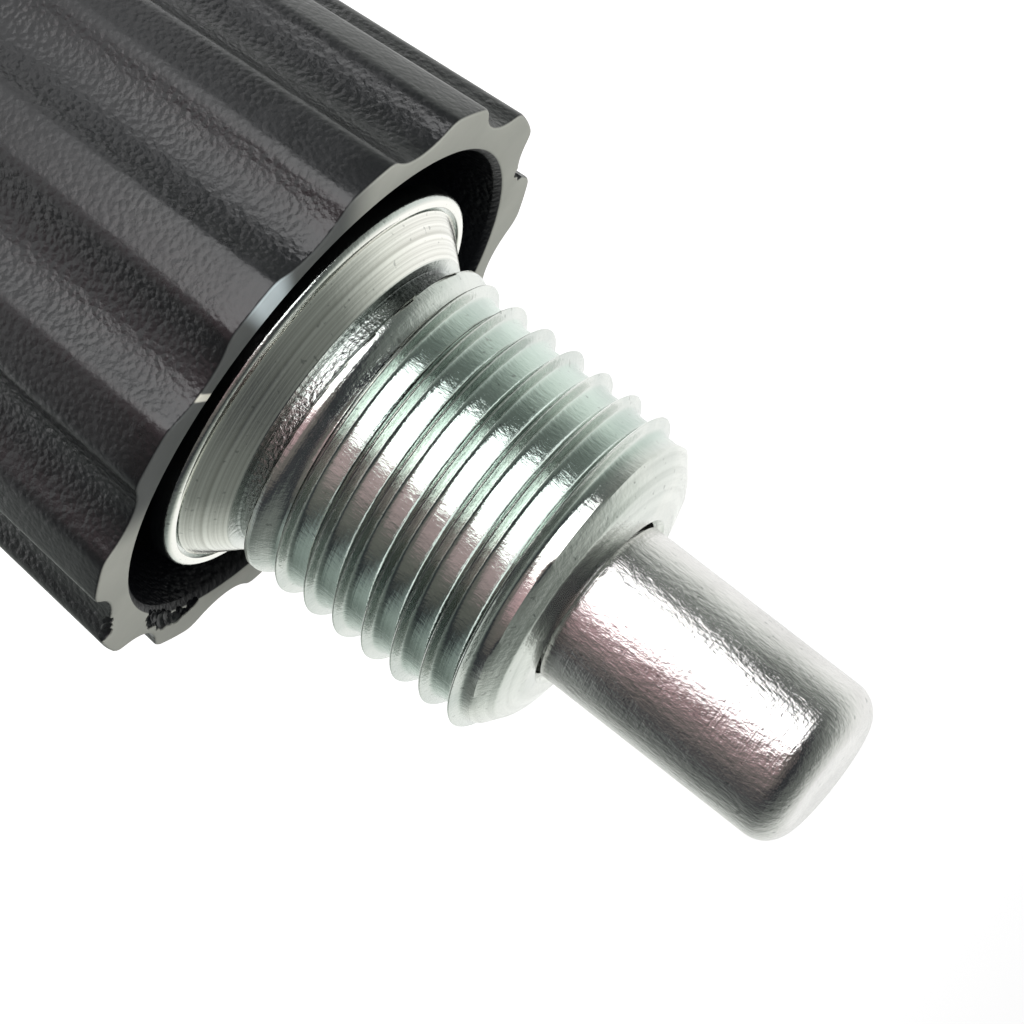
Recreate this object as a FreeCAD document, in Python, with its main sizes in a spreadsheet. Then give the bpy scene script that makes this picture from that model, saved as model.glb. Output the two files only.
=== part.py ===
import FreeCAD, Part
import math
import os
import Sketcher

# Spring-loaded indexing plunger, standing on the closed end of its pull knob, pin pointing up (+Z).
# Millimetres. The origin is the centre of the knob's closed end, and the turning axis is Z.
# Sizes run outwards from the locking pin: shoulder, spring chamber, bush, barrel, flange, knob.

doc = FreeCAD.newDocument("indexing_plunger")
sheet = doc.addObject("Spreadsheet::Sheet", "Size")

DRIVING_SIZES = [
    # Locking pin, turned in one piece with its shoulder and shank
    ("pin_radius", 2.5),
    ("pin_projection", 7.8),
    ("pin_tip_rounding", 0.9),
    ("grease_groove_width", 0.8),
    ("grease_groove_depth", 0.2),
    ("shoulder_step", 0.95),
    ("shoulder_length", 2.0),
    ("shank_step", 0.6),
    ("shank_bevel", 0.25),
    ("shank_end_gap", 1.2),
    # Inside of the sleeve
    ("guide_clearance", 0.04),
    ("guide_length", 6.1),
    ("guide_bevel", 0.2),
    ("chamber_clearance", 0.3),
    ("lip_thickness", 0.5),
    ("lip_overlap", 0.4),
    # Bush that closes the spring chamber, held by the rolled lip
    ("bush_ledge", 0.5),
    ("bush_thickness", 1.6),
    ("bush_fit", 0.02),
    ("bush_bore_clearance", 0.04),
    ("bush_bevel", 0.2),
    # Outside of the sleeve: barrel, flange, cone, neck, thread and point
    ("barrel_wall", 1.05),
    ("barrel_depth", 13.75),
    ("barrel_bevel", 0.3),
    ("flange_overhang", 0.93),
    ("flange_thickness", 0.8),
    ("flange_rounding", 0.22),
    ("flange_land", 0.33),
    ("ring_groove_width", 0.14),
    ("ring_groove_depth", 0.2),
    ("collar_projection", 0.95),
    ("cone_length", 0.95),
    ("cone_nose_step", 0.1),
    ("thread_wall", 1.25),
    ("neck_depth", 0.5),
    ("neck_length", 0.45),
    ("thread_length", 7.45),
    ("point_length", 0.75),
    ("point_step", 0.95),
    ("nose_rise", 0.25),
    ("nose_step", 0.9),
    # Washer between the spring and the shoulder
    ("washer_edge_gap", 0.3),
    ("washer_bore_clearance", 0.1),
    ("washer_thickness", 0.5),
    # Compression spring: closed half turns at both ends, ground flat
    ("spring_side_gap", 0.5),
    ("spring_wire_radius", 0.3),
    ("spring_active_turns", 4),
    ("closed_coil_gap", 0.06),
    # Fluted pull knob, moulded in one piece, narrower towards its closed end
    ("cavity_gap", 1.25),
    ("cavity_clearance", 0.6),
    ("end_wall", 2.5),
    ("mouth_gap", 1.4),
    ("mouth_bevel", 0.2),
    ("mouth_bore_draft", 0.45),
    ("mouth_bore_depth", 5.0),
    ("rim_width", 1.55),
    ("knob_draft", 2.1),
    ("knob_end_rounding", 1.25),
    ("flute_count", 12),
    ("flute_depth", 0.65),
    ("flute_hollow_radius", 2.1),
    ("crown_rounding", 0.7),
    # Threaded insert moulded into the knob
    ("insert_wall", 0.95),
    ("insert_length", 7.5),
    ("insert_waist_depth", 0.6),
    ("insert_waist_length", 1.5),
    ("insert_fit", 0.02),
    # How far a cutting shape runs past what it cuts
    ("cut_overrun", 1.0),
]

for row, (alias, value) in enumerate(DRIVING_SIZES, start=1):
    sheet.set(f"A{row}", alias)
    sheet.set(f"B{row}", str(value))
    sheet.setAlias(f"B{row}", alias)
doc.recompute()

# Radii, each worked out from the piece inside it
SHANK_RADIUS = "(Size.pin_radius - Size.shank_step)"
SHOULDER_RADIUS = "(Size.pin_radius + Size.shoulder_step)"
GUIDE_RADIUS = "(Size.pin_radius + Size.guide_clearance)"
CHAMBER_RADIUS = f"({SHOULDER_RADIUS} + Size.chamber_clearance)"
WASHER_RADIUS = f"({CHAMBER_RADIUS} - Size.washer_edge_gap)"
SPRING_RADIUS = f"({CHAMBER_RADIUS} - Size.spring_side_gap - Size.spring_wire_radius)"
BUSH_RADIUS = f"({CHAMBER_RADIUS} + Size.bush_ledge)"
BUSH_SEAT_RADIUS = f"({BUSH_RADIUS} + Size.bush_fit)"
LIP_RADIUS = f"({BUSH_RADIUS} - Size.lip_overlap)"
BARREL_RADIUS = f"({BUSH_SEAT_RADIUS} + Size.barrel_wall)"
FLANGE_RADIUS = f"({BARREL_RADIUS} + Size.flange_overhang)"
RING_GROOVE_RADIUS = f"({FLANGE_RADIUS} - Size.flange_land)"
CONE_BASE_RADIUS = f"({RING_GROOVE_RADIUS} - Size.ring_groove_width)"
THREAD_RADIUS = f"({CHAMBER_RADIUS} + Size.thread_wall)"
CONE_NOSE_RADIUS = f"({THREAD_RADIUS} - Size.cone_nose_step)"
NECK_RADIUS = f"({THREAD_RADIUS} - Size.neck_depth)"
POINT_RADIUS = f"({THREAD_RADIUS} - Size.point_step)"
CAVITY_RADIUS = f"({BARREL_RADIUS} + Size.cavity_clearance)"
MOUTH_BORE_RADIUS = f"({FLANGE_RADIUS} + Size.mouth_gap)"
KNOB_MOUTH_RADIUS = f"({MOUTH_BORE_RADIUS} + Size.rim_width)"
KNOB_END_RADIUS = f"({KNOB_MOUTH_RADIUS} - Size.knob_draft)"
INSERT_BORE_RADIUS = f"({SHANK_RADIUS} + Size.insert_fit)"
INSERT_RADIUS = f"({SHANK_RADIUS} + Size.insert_wall)"
INSERT_WAIST_RADIUS = f"({INSERT_RADIUS} - Size.insert_waist_depth)"

# Heights along the axis, from the knob's closed end up to the pin's tip
INSERT_REAR = "Size.end_wall"
CAVITY_FLOOR = f"({INSERT_REAR} + Size.insert_length)"
SLEEVE_REAR = f"({CAVITY_FLOOR} + Size.cavity_gap)"
BUSH_REAR = f"({SLEEVE_REAR} + Size.lip_thickness)"
BUSH_FRONT = f"({BUSH_REAR} + Size.bush_thickness)"
MOUTH = f"({SLEEVE_REAR} + Size.barrel_depth)"
CONE_NOSE = f"({MOUTH} + Size.collar_projection)"
FLANGE_FRONT = f"({CONE_NOSE} - Size.cone_length)"
FLANGE_BACK = f"({FLANGE_FRONT} - Size.flange_thickness)"
THREAD_START = f"({CONE_NOSE} + Size.neck_length)"
THREAD_END = f"({THREAD_START} + Size.thread_length)"
POINT_END = f"({THREAD_END} + Size.point_length)"
SLEEVE_FRONT = f"({POINT_END} + Size.nose_rise)"
SHOULDER_FRONT = f"({SLEEVE_FRONT} - Size.guide_length)"
SHOULDER_REAR = f"({SHOULDER_FRONT} - Size.shoulder_length)"
WASHER_REAR = f"({SHOULDER_REAR} - Size.washer_thickness)"
SHANK_END = f"({INSERT_REAR} + Size.shank_end_gap)"
PIN_TIP = f"({SLEEVE_FRONT} + Size.pin_projection)"


def size(expression):
    """Value of an expression of the sheet, in millimetres."""
    return float(sheet.evalExpression(expression))


def new_body(label):
    """Empty body whose label is the name of the piece."""
    body = doc.addObject("PartDesign::Body", label)
    body.Label = label
    return body


def origin_item(body, role):
    """One of the body's own origin planes or axes."""
    return [item for item in body.Origin.OriginFeatures if item.Role == role][0]


def new_sketch(body, name):
    """Sketch on the body's XZ plane: across is the radius, up is the height."""
    sketch = body.newObject("Sketcher::SketchObject", name)
    sketch.AttachmentSupport = (origin_item(body, "XZ_Plane"), [""])
    sketch.MapMode = "FlatFace"
    return sketch


def place_point(sketch, curve, end, across, along):
    """Hold one end of a curve at a place given by two expressions."""
    for kind, axis, expression in (("DistanceX", -2, across), ("DistanceY", -1, along)):
        if expression == "0":
            sketch.addConstraint(Sketcher.Constraint("PointOnObject", curve, end, axis))
        else:
            rule = Sketcher.Constraint(kind, -1, 1, curve, end, size(expression))
            index = sketch.addConstraint(rule)
            sketch.setExpression(f"Constraints[{index}]", expression)


def draw_lines(sketch, corners, closed):
    """Joined lines through corners, each a pair of expressions. Gives the lines' numbers."""
    points = [FreeCAD.Vector(size(across), size(along), 0) for across, along in corners]
    ends = points[1:] + points[:1] if closed else points[1:]
    lines = [sketch.addGeometry(Part.LineSegment(a, b), False) for a, b in zip(points, ends)]
    following = lines[1:] + lines[:1] if closed else lines[1:]
    for line, after in zip(lines, following):
        sketch.addConstraint(Sketcher.Constraint("Coincident", line, 2, after, 1))
    for line, (across, along) in zip(lines, corners):
        place_point(sketch, line, 1, across, along)
    return lines


def revolve(body, name, kind, sketch):
    """Turn a sketch once about the body's vertical axis, as a Revolution or a Groove."""
    feature = body.newObject(f"PartDesign::{kind}", name)
    feature.Profile = sketch
    feature.ReferenceAxis = (sketch, ["V_Axis"])
    feature.Angle = 360.0
    doc.recompute()
    return feature


def turned_body(label, corners):
    """Piece turned from an outline of radius and height."""
    body = new_body(label)
    sketch = new_sketch(body, f"{label}_outline")
    draw_lines(sketch, corners, closed=True)
    revolve(body, f"{label}_turned", "Revolution", sketch)
    return body


def ring_edge(body, radius, height):
    """Name of the circular edge about the axis with this radius at this height."""
    tolerance = 1e-4
    for number, edge in enumerate(body.Shape.Edges, start=1):
        if isinstance(edge.Curve, Part.Circle):
            same_height = abs(edge.Curve.Center.z - size(height)) < tolerance
            same_radius = abs(edge.Curve.Radius - size(radius)) < tolerance
            if same_height and same_radius:
                return f"Edge{number}"
    raise RuntimeError(f"{body.Label} has no ring edge at radius {radius}")


def round_edges(body, name, edges, radius):
    """Fillet on named edges of the body."""
    base = body.Tip
    feature = body.newObject("PartDesign::Fillet", name)
    feature.Base = (base, edges)
    feature.setExpression("Radius", radius)
    doc.recompute()
    body.Tip = feature


def make_pin():
    """Pin: round-edged front end, shoulder that stops on the sleeve, and a shank for the knob."""
    groove_radius = "Size.pin_radius - Size.grease_groove_depth"
    groove_rear = f"{SLEEVE_FRONT} - Size.grease_groove_width"
    body = turned_body("plunger_pin", [
        ("0", SHANK_END),
        (f"{SHANK_RADIUS} - Size.shank_bevel", SHANK_END),
        (SHANK_RADIUS, f"{SHANK_END} + Size.shank_bevel"),
        (SHANK_RADIUS, SHOULDER_REAR),
        (SHOULDER_RADIUS, SHOULDER_REAR),
        (SHOULDER_RADIUS, SHOULDER_FRONT),
        ("Size.pin_radius", SHOULDER_FRONT),
        ("Size.pin_radius", groove_rear),
        (groove_radius, groove_rear),
        (groove_radius, SLEEVE_FRONT),
        ("Size.pin_radius", SLEEVE_FRONT),
        ("Size.pin_radius", PIN_TIP),
        ("0", PIN_TIP),
    ])
    edge = ring_edge(body, "Size.pin_radius", PIN_TIP)
    round_edges(body, "tip_rounding", [edge], "Size.pin_tip_rounding")
    return body


def make_sleeve():
    """Sleeve: stepped outside, guide bore in front, spring chamber and bush seat behind."""
    groove_floor = f"{FLANGE_FRONT} - Size.ring_groove_depth"
    body = turned_body("threaded_sleeve", [
        (LIP_RADIUS, SLEEVE_REAR),
        (f"{BARREL_RADIUS} - Size.barrel_bevel", SLEEVE_REAR),
        (BARREL_RADIUS, f"{SLEEVE_REAR} + Size.barrel_bevel"),
        (BARREL_RADIUS, FLANGE_BACK),
        (FLANGE_RADIUS, FLANGE_BACK),
        (FLANGE_RADIUS, FLANGE_FRONT),
        (RING_GROOVE_RADIUS, FLANGE_FRONT),
        (RING_GROOVE_RADIUS, groove_floor),
        (CONE_BASE_RADIUS, groove_floor),
        (CONE_BASE_RADIUS, FLANGE_FRONT),
        (CONE_NOSE_RADIUS, CONE_NOSE),
        (NECK_RADIUS, CONE_NOSE),
        (NECK_RADIUS, THREAD_START),
        (THREAD_RADIUS, f"{THREAD_START} + Size.neck_depth"),
        (THREAD_RADIUS, THREAD_END),
        (POINT_RADIUS, POINT_END),
        (f"{POINT_RADIUS} - Size.nose_step", SLEEVE_FRONT),
        (f"{GUIDE_RADIUS} + Size.guide_bevel", SLEEVE_FRONT),
        (GUIDE_RADIUS, f"{SLEEVE_FRONT} - Size.guide_bevel"),
        (GUIDE_RADIUS, SHOULDER_FRONT),
        (CHAMBER_RADIUS, SHOULDER_FRONT),
        (CHAMBER_RADIUS, BUSH_FRONT),
        (BUSH_SEAT_RADIUS, BUSH_FRONT),
        (BUSH_SEAT_RADIUS, BUSH_REAR),
        (LIP_RADIUS, BUSH_REAR),
    ])
    for name, height in (("front", FLANGE_FRONT), ("back", FLANGE_BACK)):
        edge = ring_edge(body, FLANGE_RADIUS, height)
        round_edges(body, f"flange_{name}_rounding", [edge], "Size.flange_rounding")
    return body


def make_bush():
    """Rear bush: guides the shank and carries the spring."""
    bore = f"{SHANK_RADIUS} + Size.bush_bore_clearance"
    return turned_body("rear_bush", [
        (f"{bore} + Size.bush_bevel", BUSH_REAR),
        (BUSH_RADIUS, BUSH_REAR),
        (BUSH_RADIUS, BUSH_FRONT),
        (bore, BUSH_FRONT),
        (bore, f"{BUSH_REAR} + Size.bush_bevel"),
    ])


def make_washer():
    """Thin washer that carries the front end of the spring on the shoulder."""
    bore = f"{SHANK_RADIUS} + Size.washer_bore_clearance"
    return turned_body("spring_washer", [
        (bore, WASHER_REAR),
        (WASHER_RADIUS, WASHER_REAR),
        (WASHER_RADIUS, SHOULDER_REAR),
        (bore, SHOULDER_REAR),
    ])


def make_insert():
    """Insert: a threaded bush with a waist that the knob's material grips."""
    waist_rear = f"{CAVITY_FLOOR} - (Size.insert_length + Size.insert_waist_length) / 2"
    waist_front = f"{CAVITY_FLOOR} - (Size.insert_length - Size.insert_waist_length) / 2"
    return turned_body("knob_insert", [
        (INSERT_BORE_RADIUS, INSERT_REAR),
        (INSERT_RADIUS, INSERT_REAR),
        (INSERT_RADIUS, waist_rear),
        (INSERT_WAIST_RADIUS, waist_rear),
        (INSERT_WAIST_RADIUS, waist_front),
        (INSERT_RADIUS, waist_front),
        (INSERT_RADIUS, CAVITY_FLOOR),
        (INSERT_BORE_RADIUS, CAVITY_FLOOR),
    ])


def make_spring():
    """Spring: half rings of wire, tilted in turn so that they join into a coil, with ground ends."""
    closed_rise = "(Size.spring_wire_radius + Size.closed_coil_gap / 2)"
    length = f"({WASHER_REAR} - {BUSH_FRONT})"
    active_halves = round(2 * size("Size.spring_active_turns"))
    active_rise = f"(({length} - 2 * {closed_rise}) / (2 * Size.spring_active_turns))"
    rises = [closed_rise] + [active_rise] * active_halves + [closed_rise]
    halves = []
    height = BUSH_FRONT
    for number, rise in enumerate(rises):
        half = doc.addObject("Part::Torus", f"spring_half_{number + 1:02d}")
        half.Angle3 = 180
        half.setExpression("Radius1", f"sqrt({SPRING_RADIUS} ^ 2 + ({rise} / 2) ^ 2)")
        half.setExpression("Radius2", "Size.spring_wire_radius")
        tilt = math.degrees(math.atan2(size(rise) / 2, size(SPRING_RADIUS)))
        turned = number % 2 == 1
        lean = FreeCAD.Rotation(FreeCAD.Vector(0, 1, 0), -tilt if turned else tilt)
        around = FreeCAD.Rotation(FreeCAD.Vector(0, 0, 1), 180 if turned else 0)
        half.Placement = FreeCAD.Placement(FreeCAD.Vector(0, 0, 0), lean * around)
        half.setExpression("Placement.Base.z", f"{height} + {rise} / 2")
        height = f"({height} + {rise})"
        halves.append(half)
    coil = doc.addObject("Part::MultiFuse", "spring_coil")
    coil.Shapes = halves
    room = doc.addObject("Part::Cylinder", "spring_room")
    room.setExpression("Radius", CHAMBER_RADIUS)
    room.setExpression("Height", length)
    room.setExpression("Placement.Base.z", BUSH_FRONT)
    spring = doc.addObject("Part::Common", "compression_spring")
    spring.Label = "compression_spring"
    spring.Base = coil
    spring.Tool = room
    doc.recompute()
    return spring


def make_knob():
    """Knob: tapered blank with a stepped hollow, hollow flutes and rounded crowns."""
    bore_rear = f"{MOUTH} - Size.mouth_bore_depth"
    seat_radius = f"({INSERT_RADIUS} + Size.insert_fit)"
    rib_radius = f"({INSERT_WAIST_RADIUS} + Size.insert_fit)"
    rib_half = "(Size.insert_waist_length / 2 - Size.insert_fit)"
    rib_middle = f"({CAVITY_FLOOR} - Size.insert_length / 2)"
    body = turned_body("knob", [
        ("0", "0"),
        (KNOB_END_RADIUS, "0"),
        (KNOB_MOUTH_RADIUS, MOUTH),
        (f"{MOUTH_BORE_RADIUS} + Size.mouth_bevel", MOUTH),
        (MOUTH_BORE_RADIUS, f"{MOUTH} - Size.mouth_bevel"),
        (f"{MOUTH_BORE_RADIUS} - Size.mouth_bore_draft", bore_rear),
        (CAVITY_RADIUS, bore_rear),
        (CAVITY_RADIUS, CAVITY_FLOOR),
        (seat_radius, CAVITY_FLOOR),
        (seat_radius, f"{rib_middle} + {rib_half}"),
        (rib_radius, f"{rib_middle} + {rib_half}"),
        (rib_radius, f"{rib_middle} - {rib_half}"),
        (seat_radius, f"{rib_middle} - {rib_half}"),
        (seat_radius, INSERT_REAR),
        ("0", INSERT_REAR),
    ])
    cut_flutes(body)
    round_crowns(body)
    round_closed_end(body)
    body.setExpression("Placement.Rotation.Angle", "180 deg / Size.flute_count")
    return body


def cut_flutes(body):
    """One leaning cylinder cuts a flute along the taper, and a polar pattern repeats it."""
    past = "Size.cut_overrun"
    slope = f"(Size.knob_draft / {MOUTH})"
    lean = f"atan({slope})"
    flute = body.newObject("PartDesign::SubtractiveCylinder", "flute")
    flute.AttachmentSupport = (origin_item(body, "XY_Plane"), [""])
    flute.MapMode = "FlatFace"
    leaning = FreeCAD.Rotation(FreeCAD.Vector(0, 1, 0), size(f"{lean} / 1 deg"))
    flute.AttachmentOffset = FreeCAD.Placement(FreeCAD.Vector(0, 0, 0), leaning)
    reach = f"{KNOB_END_RADIUS} + Size.flute_hollow_radius - Size.flute_depth"
    flute.setExpression("AttachmentOffset.Base.x", f"{reach} - {slope} * {past}")
    flute.setExpression("AttachmentOffset.Base.z", f"-{past}")
    flute.setExpression("AttachmentOffset.Rotation.Angle", lean)
    flute.setExpression("Radius", "Size.flute_hollow_radius")
    flute.setExpression("Height", f"{MOUTH} / cos({lean}) + 2 * {past}")
    doc.recompute()
    pattern = body.newObject("PartDesign::PolarPattern", "flutes")
    pattern.Originals = [flute]
    pattern.Axis = (origin_item(body, "Z_Axis"), [""])
    pattern.Angle = 360
    pattern.setExpression("Occurrences", "Size.flute_count")
    body.Tip = pattern
    doc.recompute()


def round_crowns(body):
    """Fillet on both long edges of each crown."""
    half_height = size(MOUTH) / 2
    names = []
    for number, edge in enumerate(body.Shape.Edges, start=1):
        ends = [vertex.Point for vertex in edge.Vertexes]
        rises = len(ends) == 2 and abs(ends[0].z - ends[1].z) > half_height
        if rises and math.hypot(ends[0].x, ends[0].y) > size(CAVITY_RADIUS):
            names.append((f"Edge{number}", edge))
    seam_free = [name for name, edge in names if not isinstance(edge.Curve, Part.Line)]
    round_edges(body, "rounded_crowns", seam_free, "Size.crown_rounding")


def round_closed_end(body):
    """Groove whose outline is a quarter circle between the flat end and the tapered side."""
    past = "Size.cut_overrun"
    rounding = "Size.knob_end_rounding"
    side = f"({KNOB_END_RADIUS} + Size.knob_draft * {rounding} / {MOUTH})"
    foot = f"({side} - {rounding})"
    sketch = new_sketch(body, "closed_end_outline")
    lines = draw_lines(sketch, [
        (side, rounding),
        (f"{side} + {past}", rounding),
        (f"{side} + {past}", f"-{past}"),
        (foot, f"-{past}"),
        (foot, "0"),
    ], closed=False)
    centre = FreeCAD.Vector(size(foot), size(rounding), 0)
    circle = Part.Circle(centre, FreeCAD.Vector(0, 0, 1), size(rounding))
    arc = sketch.addGeometry(Part.ArcOfCircle(circle, -math.pi / 2, 0), False)
    sketch.addConstraint(Sketcher.Constraint("PointOnObject", lines[-1], 2, -1))
    sketch.addConstraint(Sketcher.Constraint("Vertical", lines[-1]))
    sketch.addConstraint(Sketcher.Constraint("Coincident", lines[-1], 2, arc, 1))
    sketch.addConstraint(Sketcher.Constraint("Coincident", arc, 2, lines[0], 1))
    index = sketch.addConstraint(Sketcher.Constraint("Radius", arc, size(rounding)))
    sketch.setExpression(f"Constraints[{index}]", rounding)
    doc.recompute()
    body.Tip = revolve(body, "closed_end_rounding", "Groove", sketch)


pieces = [
    make_pin(),
    make_sleeve(),
    make_bush(),
    make_washer(),
    make_spring(),
    make_insert(),
    make_knob(),
]
doc.recompute()

for item in doc.Objects:
    if "Invalid" in item.State or "Error" in item.State:
        raise RuntimeError(f"{item.Name} failed: {item.State}")
for piece in pieces:
    if piece.Shape.isNull() or not piece.Shape.isValid():
        raise RuntimeError(f"{piece.Label} has no valid shape")

os.makedirs("parts", exist_ok=True)
for piece in pieces:
    piece.Shape.exportStep(f"parts/{piece.Label}.step")
    print(piece.Label, len(piece.Shape.Solids), round(piece.Shape.Volume, 2), piece.Shape.BoundBox)
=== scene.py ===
# %% [markdown]
# # A spring-loaded indexing plunger
#
# The object is a small locking pin. A zinc-plated steel sleeve screws into a machine frame, a pin
# slides in it, and a fluted plastic knob pulls the pin back against a spring. The frame brings in
# the solid parts at their real sizes. This lesson dresses them: first the camera, then the finishes,
# the knob, the threaded sleeve, the pin and the spring, and last the light.

# %% Load the frame
import math

import bpy
import mathutils
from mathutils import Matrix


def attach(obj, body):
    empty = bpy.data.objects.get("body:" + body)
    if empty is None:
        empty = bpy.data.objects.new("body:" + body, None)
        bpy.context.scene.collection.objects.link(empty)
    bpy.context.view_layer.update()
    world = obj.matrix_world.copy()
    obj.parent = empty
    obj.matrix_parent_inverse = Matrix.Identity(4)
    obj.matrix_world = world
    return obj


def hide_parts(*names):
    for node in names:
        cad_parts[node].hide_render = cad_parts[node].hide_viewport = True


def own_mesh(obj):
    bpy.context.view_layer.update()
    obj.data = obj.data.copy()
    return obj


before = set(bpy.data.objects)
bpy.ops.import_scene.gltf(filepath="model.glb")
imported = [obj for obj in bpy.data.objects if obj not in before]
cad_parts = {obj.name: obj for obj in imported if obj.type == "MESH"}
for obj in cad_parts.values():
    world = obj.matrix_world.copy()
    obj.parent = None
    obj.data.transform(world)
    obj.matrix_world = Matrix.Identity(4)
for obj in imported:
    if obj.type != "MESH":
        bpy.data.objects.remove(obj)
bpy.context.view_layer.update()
print("pieces in the frame:", sorted(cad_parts))

# %% [markdown]
# ## Sizes
#
# The heights and radii are the ones that the solids were built from, in millimetres. They could be
# measured on the solids instead, but named sizes can be read like a drawing. Every shape below is
# drawn from them, so a dressed piece lies on its solid.

# %% Sizes in millimetres
MM = 0.001
PIN, TIP_HEIGHT, TIP_ROUND = 2.5, 42.65, 0.9
KNOB_END, KNOB_MOUTH, MOUTH_HEIGHT = 9.2 - 2.1, 9.2, 25.0
DRAFT = (KNOB_MOUTH - KNOB_END) / MOUTH_HEIGHT
FLUTES, FLUTE_DEPTH, FLUTE_HOLLOW, CROWN_ROUND = 12, 0.65, 2.1, 0.7
BORE, BORE_BEVEL, CAVITY = 7.65, 0.2, 5.92
FLANGE, BARREL, THREAD, NECK, POINT = 6.25, 5.32, 5.0, 4.5, 4.05
NECK_START, NECK_END, THREAD_END, POINT_END, SLEEVE_FRONT = 25.95, 26.4, 33.85, 34.6, 34.85
PITCH, FIRST_CREST = 1.0, 26.75
print("overall height", TIP_HEIGHT, "mm, thread", 2 * THREAD, "x", PITCH)

# %% [markdown]
# ## The camera
#
# The photograph was taken from in front of the pin, a little above the knob's open end, with the
# camera rolled so that the pin points to the lower right. A long lens keeps the knob's two ends
# nearly the same size. The camera could be placed by eye, but a fitted one brings the edges closer
# to where the photograph has them. It was fitted to the ellipse of the knob's mouth, the edges of
# the knob and pin, and the crests of the thread.

# %% Camera
LENS_MM = 175.8
ROLL, ELEVATION, TURN = math.radians(37.77), math.radians(12.88), math.radians(3.0)
MOUTH_RIGHT, MOUTH_DOWN, MOUTH_FORWARD = -5.241, -3.466, 136.04

turn = mathutils.Matrix.Rotation(TURN, 3, "Z")
forward = turn @ mathutils.Vector((0, math.cos(ELEVATION), -math.sin(ELEVATION)))
along_pin = turn @ mathutils.Vector((0, math.sin(ELEVATION), math.cos(ELEVATION)))
sideways = turn @ mathutils.Vector((1, 0, 0))
right = math.cos(ROLL) * along_pin - math.sin(ROLL) * sideways
down = math.sin(ROLL) * along_pin + math.cos(ROLL) * sideways
mouth_centre = mathutils.Vector((0, 0, MOUTH_HEIGHT * MM))
eye = mouth_centre - (MOUTH_RIGHT * right + MOUTH_DOWN * down + MOUTH_FORWARD * forward) * MM

camera_data = bpy.data.cameras.new("photo_camera")
camera_data.lens = LENS_MM
camera_data.sensor_width = 36
camera_data.clip_start, camera_data.clip_end = 0.01, 20
camera = bpy.data.objects.new("photo_camera", camera_data)
bpy.context.scene.collection.objects.link(camera)
axes = mathutils.Matrix((right, -down, -forward)).transposed()
camera.matrix_world = mathutils.Matrix.Translation(eye) @ axes.to_4x4()
bpy.context.scene.camera = camera
print("camera at", [round(value, 4) for value in eye])

# %% [markdown]
# ## Adding nodes
#
# A finish is a small graph of nodes. It could be joined by hand in the Shader Editor, but a graph
# that is written down gives the same finish each time. One function adds a node with its settings
# and links. Colours are written as sRGB hex values, and one function turns them linear.

# %% Colour
def linear(hex_colour):
    """sRGB hex to linear red, green, blue, alpha."""
    channels = [int(hex_colour[i:i + 2], 16) / 255 for i in (1, 3, 5)]
    return tuple(c / 12.92 if c <= 0.04045 else ((c + 0.055) / 1.055) ** 2.4 for c in channels) + (1,)


print("mid grey #808080 is", round(linear("#808080")[0], 3), "in linear light")


# %% Nodes and materials
def add_node(tree, kind, settings=None, inputs=None, links=None):
    """A node of that kind. links maps an input's name or number to another node's socket."""
    node = tree.nodes.new(kind)
    for name, value in (settings or {}).items():
        setattr(node, name, value)
    for name, value in (inputs or {}).items():
        node.inputs[name].default_value = value
    for name, socket in (links or {}).items():
        tree.links.new(socket, node.inputs[name])
    return node


def new_material(name):
    """Material with its shader and its Object coordinates."""
    material = bpy.data.materials.new(name)
    material.use_nodes = True
    tree = material.node_tree
    shader = tree.nodes["Principled BSDF"]
    place = add_node(tree, "ShaderNodeTexCoord").outputs["Object"]
    return material, tree, shader, place


def colour_steps(node, stops):
    """Set a colour ramp's stops: (position, hex colour)."""
    ramp = node.color_ramp
    while len(ramp.elements) < len(stops):
        ramp.elements.new(0.5)
    for element, (position, hex_colour) in zip(ramp.elements, stops):
        element.position = position
        element.color = linear(hex_colour)


print("node kinds used: coordinates, noise, cells, ramps, maths, bump and shaders")


# %% Sums of nodes
def compute(tree, operation, first, second=0.0):
    """Math node of two values, each a number or a socket."""
    node = add_node(tree, "ShaderNodeMath", {"operation": operation})
    for index, value in enumerate((first, second)):
        if isinstance(value, (int, float)):
            node.inputs[index].default_value = value
        else:
            tree.links.new(value, node.inputs[index])
    return node.outputs["Value"]


def rise(tree, value, low, high, start=0.0, end=1.0):
    """Smooth step from start to end while the value goes from low to high."""
    node = add_node(tree, "ShaderNodeMapRange", {"interpolation_type": "SMOOTHSTEP"},
                    {"From Min": low, "From Max": high, "To Min": start, "To Max": end}, {"Value": value})
    return node.outputs["Result"]


def multiply(tree, first, second):
    """Product of two values, each a number or a socket."""
    return compute(tree, "MULTIPLY", first, second)


def band(tree, value, start, full, fade, end):
    """1 while the value is between full and fade, with soft edges out to start and end."""
    return multiply(tree, rise(tree, value, start, full), rise(tree, value, fade, end, 1.0, 0.0))


def blend(tree, share, first, second):
    """Mix two colours, each a hex value or a socket."""
    node = add_node(tree, "ShaderNodeMix", {"data_type": "RGBA"}, links={0: share})
    for index, value in ((6, first), (7, second)):
        if isinstance(value, str):
            node.inputs[index].default_value = linear(value)
        else:
            tree.links.new(value, node.inputs[index])
    return node.outputs[2]


def round_coordinates(tree, place):
    """Radius, angle and height sockets of a point, in metres and radians."""
    split = add_node(tree, "ShaderNodeSeparateXYZ", links={"Vector": place})
    x, y, height = split.outputs["X"], split.outputs["Y"], split.outputs["Z"]
    radius = compute(tree, "SQRT", compute(tree, "ADD", multiply(tree, x, x), multiply(tree, y, y)))
    return radius, compute(tree, "ARCTAN2", y, x), height


print("a mask is 0 or 1 with a soft edge, and two masks are multiplied to keep what both keep")


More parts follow.
